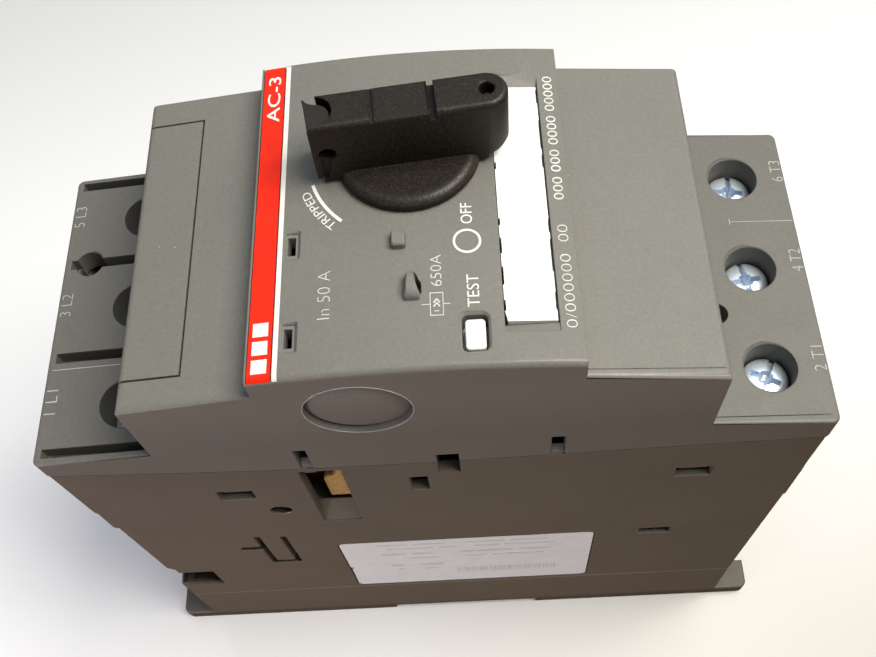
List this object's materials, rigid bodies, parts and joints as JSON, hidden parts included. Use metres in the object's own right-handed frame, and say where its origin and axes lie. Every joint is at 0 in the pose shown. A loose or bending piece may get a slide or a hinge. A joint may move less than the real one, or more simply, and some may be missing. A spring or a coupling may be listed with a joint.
{
  "type": "motor protection breaker",
  "caption": "Boxy motor circuit breaker with a rotary switch handle, a test button, screw terminals at both ends and a rail foot.",
  "frame": {"origin": "middle of the back, in the plane that the breaker lies on", "axes": "+Z out of the front face towards the handle, -X towards the line terminals and +X towards the load terminals, +Y across the poles from pole 1 to pole 3"},
  "size_m": [0.137, 0.055, 0.1456],
  "materials": {
    "housing_grey": "fine-grained olive grey thermoplastic",
    "base_grey": "matt moulded thermoset, slightly browner than the cover",
    "handle_black": "grained black plastic with edges rubbed shiny",
    "white_plastic": "smooth white plastic",
    "red_print": "red marking film",
    "pale_label": "matt silvery label film",
    "brown_fibre": "brown insulating laminate",
    "grey_fibre": "grey insulating laminate carrying the splitter plates",
    "dark_resin": "dark moulded resin",
    "copper": "bare copper",
    "steel": "bright rolled steel",
    "spring_steel": "spring wire",
    "zinc_plate": "bluish zinc plating"
  },
  "bodies": {
    "housing": {"rear_base": "base_grey", "base_housing": "base_grey", "front_cover": "housing_grey", "front_label": "white_plastic", "marking_strip": "red_print", "side_label": "pale_label", "mechanism_frame": "steel", "mechanism_spring": "spring_steel", "test_spring": "spring_steel", "rail_latch_spring": "spring_steel", "line_bar_1": "copper", "load_contact_1": "copper", "load_bar_1": "copper", "trip_coil_1": "copper", "coil_yoke_1": "steel", "arc_chute_line_1": "grey_fibre", "arc_chute_load_1": "grey_fibre", "line_bar_2": "copper", "load_contact_2": "copper", "load_bar_2": "copper", "trip_coil_2": "copper", "coil_yoke_2": "steel", "arc_chute_line_2": "grey_fibre", "arc_chute_load_2": "grey_fibre", "line_bar_3": "copper", "load_contact_3": "copper", "load_bar_3": "copper", "trip_coil_3": "copper", "coil_yoke_3": "steel", "arc_chute_line_3": "grey_fibre", "arc_chute_load_3": "grey_fibre"},
    "handle": {"rotary_handle": "handle_black", "drive_cam": "dark_resin"},
    "lock_slide": {"lock_slide": "brown_fibre"},
    "test_button": {"test_button": "white_plastic"},
    "aux_cover": {"aux_cover": "housing_grey"},
    "rail_latch": {"rail_latch": "base_grey"},
    "contact_carrier": {"contact_carrier": "dark_resin", "side_driver": "brown_fibre", "contact_bridge_1": "copper", "contact_bridge_2": "copper", "contact_bridge_3": "copper"},
    "trip_bar": {"trip_bar": "dark_resin"},
    "plunger_1": {"plunger_1": "steel"},
    "plunger_2": {"plunger_2": "steel"},
    "plunger_3": {"plunger_3": "steel"},
    "screw_l1": {"terminal_screw_l1": "zinc_plate"},
    "clamp_l1": {"clamp_cage_l1": "steel"},
    "screw_l2": {"terminal_screw_l2": "zinc_plate"},
    "clamp_l2": {"clamp_cage_l2": "steel"},
    "screw_l3": {"terminal_screw_l3": "zinc_plate"},
    "clamp_l3": {"clamp_cage_l3": "steel"},
    "screw_t1": {"terminal_screw_t1": "zinc_plate"},
    "clamp_t1": {"clamp_cage_t1": "steel"},
    "screw_t2": {"terminal_screw_t2": "zinc_plate"},
    "clamp_t2": {"clamp_cage_t2": "steel"},
    "screw_t3": {"terminal_screw_t3": "zinc_plate"},
    "clamp_t3": {"clamp_cage_t3": "steel"}
  },
  "joints": [
    {"name": "handle_turn", "type": "hinge", "parent": "housing", "child": "handle", "pos_m": [0, 0.008, 0.134], "axis": [0, 0, 1], "range_deg": [-5, 85]},
    {"name": "lock_pull", "type": "slide", "parent": "handle", "child": "lock_slide", "axis": [-0.9962, -0.0872, 0], "range_m": [0, 0.004]},
    {"name": "test_press", "type": "slide", "parent": "housing", "child": "test_button", "axis": [0, 0, -1], "range_m": [0, 0.0015], "stiffness_N_per_m": 400, "springref_m": -0.002, "deforming": ["test_spring"]},
    {"name": "aux_cover_lift", "type": "slide", "parent": "housing", "child": "aux_cover", "axis": [0, 0, 1], "range_m": [0, 0.015]},
    {"name": "rail_latch_pull", "type": "slide", "parent": "housing", "child": "rail_latch", "axis": [1, 0, 0], "range_m": [0, 0.003], "stiffness_N_per_m": 1200, "springref_m": -0.002, "deforming": ["rail_latch_spring"]},
    {"name": "carrier_drop", "type": "slide", "parent": "housing", "child": "contact_carrier", "axis": [0, 0, -1], "range_m": [-0.00029, 0.005]},
    {"name": "trip_bar_tilt", "type": "hinge", "parent": "housing", "child": "trip_bar", "pos_m": [0.029, 0, 0.104], "axis": [0, -1, 0], "range_deg": [0, 10], "stiffness_Nm_per_rad": 0.02, "springref_deg": -5.73},
    {"name": "plunger_strike_1", "type": "slide", "parent": "housing", "child": "plunger_1", "axis": [0, 0, 1], "range_m": [0, 0.0025], "stiffness_N_per_m": 80, "springref_m": -0.002},
    {"name": "plunger_strike_2", "type": "slide", "parent": "housing", "child": "plunger_2", "axis": [0, 0, 1], "range_m": [0, 0.0025], "stiffness_N_per_m": 80, "springref_m": -0.002},
    {"name": "plunger_strike_3", "type": "slide", "parent": "housing", "child": "plunger_3", "axis": [0, 0, 1], "range_m": [0, 0.0025], "stiffness_N_per_m": 80, "springref_m": -0.002},
    {"name": "screw_turn_l1", "type": "hinge", "parent": "housing", "child": "screw_l1", "pos_m": [-0.0485, -0.018, 0.1], "axis": [0, 0, -1], "range_deg": [0, 1980]},
    {"name": "clamp_lift_l1", "type": "slide", "parent": "housing", "child": "clamp_l1", "axis": [0, 0, 1], "range_m": [0, 0.0055]},
    {"name": "screw_turn_l2", "type": "hinge", "parent": "housing", "child": "screw_l2", "pos_m": [-0.0485, 0, 0.1], "axis": [0, 0, -1], "range_deg": [0, 1980]},
    {"name": "clamp_lift_l2", "type": "slide", "parent": "housing", "child": "clamp_l2", "axis": [0, 0, 1], "range_m": [0, 0.0055]},
    {"name": "screw_turn_l3", "type": "hinge", "parent": "housing", "child": "screw_l3", "pos_m": [-0.0485, 0.018, 0.1], "axis": [0, 0, -1], "range_deg": [0, 1980]},
    {"name": "clamp_lift_l3", "type": "slide", "parent": "housing", "child": "clamp_l3", "axis": [0, 0, 1], "range_m": [0, 0.0055]},
    {"name": "screw_turn_t1", "type": "hinge", "parent": "housing", "child": "screw_t1", "pos_m": [0.0536, -0.018, 0.1], "axis": [0, 0, -1], "range_deg": [0, 1980]},
    {"name": "clamp_lift_t1", "type": "slide", "parent": "housing", "child": "clamp_t1", "axis": [0, 0, 1], "range_m": [0, 0.0055]},
    {"name": "screw_turn_t2", "type": "hinge", "parent": "housing", "child": "screw_t2", "pos_m": [0.0536, 0, 0.1], "axis": [0, 0, -1], "range_deg": [0, 1980]},
    {"name": "clamp_lift_t2", "type": "slide", "parent": "housing", "child": "clamp_t2", "axis": [0, 0, 1], "range_m": [0, 0.0055]},
    {"name": "screw_turn_t3", "type": "hinge", "parent": "housing", "child": "screw_t3", "pos_m": [0.0536, 0.018, 0.1], "axis": [0, 0, -1], "range_deg": [0, 1980]},
    {"name": "clamp_lift_t3", "type": "slide", "parent": "housing", "child": "clamp_t3", "axis": [0, 0, 1], "range_m": [0, 0.0055]}
  ],
  "couplings": [
    {"joint": "handle_turn", "follows": "carrier_drop", "rad_per_m": 296.7},
    {"joint": "screw_turn_l1", "follows": "clamp_lift_l1", "rad_per_m": 6283.2},
    {"joint": "screw_turn_l2", "follows": "clamp_lift_l2", "rad_per_m": 6283.2},
    {"joint": "screw_turn_l3", "follows": "clamp_lift_l3", "rad_per_m": 6283.2},
    {"joint": "screw_turn_t1", "follows": "clamp_lift_t1", "rad_per_m": 6283.2},
    {"joint": "screw_turn_t2", "follows": "clamp_lift_t2", "rad_per_m": 6283.2},
    {"joint": "screw_turn_t3", "follows": "clamp_lift_t3", "rad_per_m": 6283.2}
  ]
}
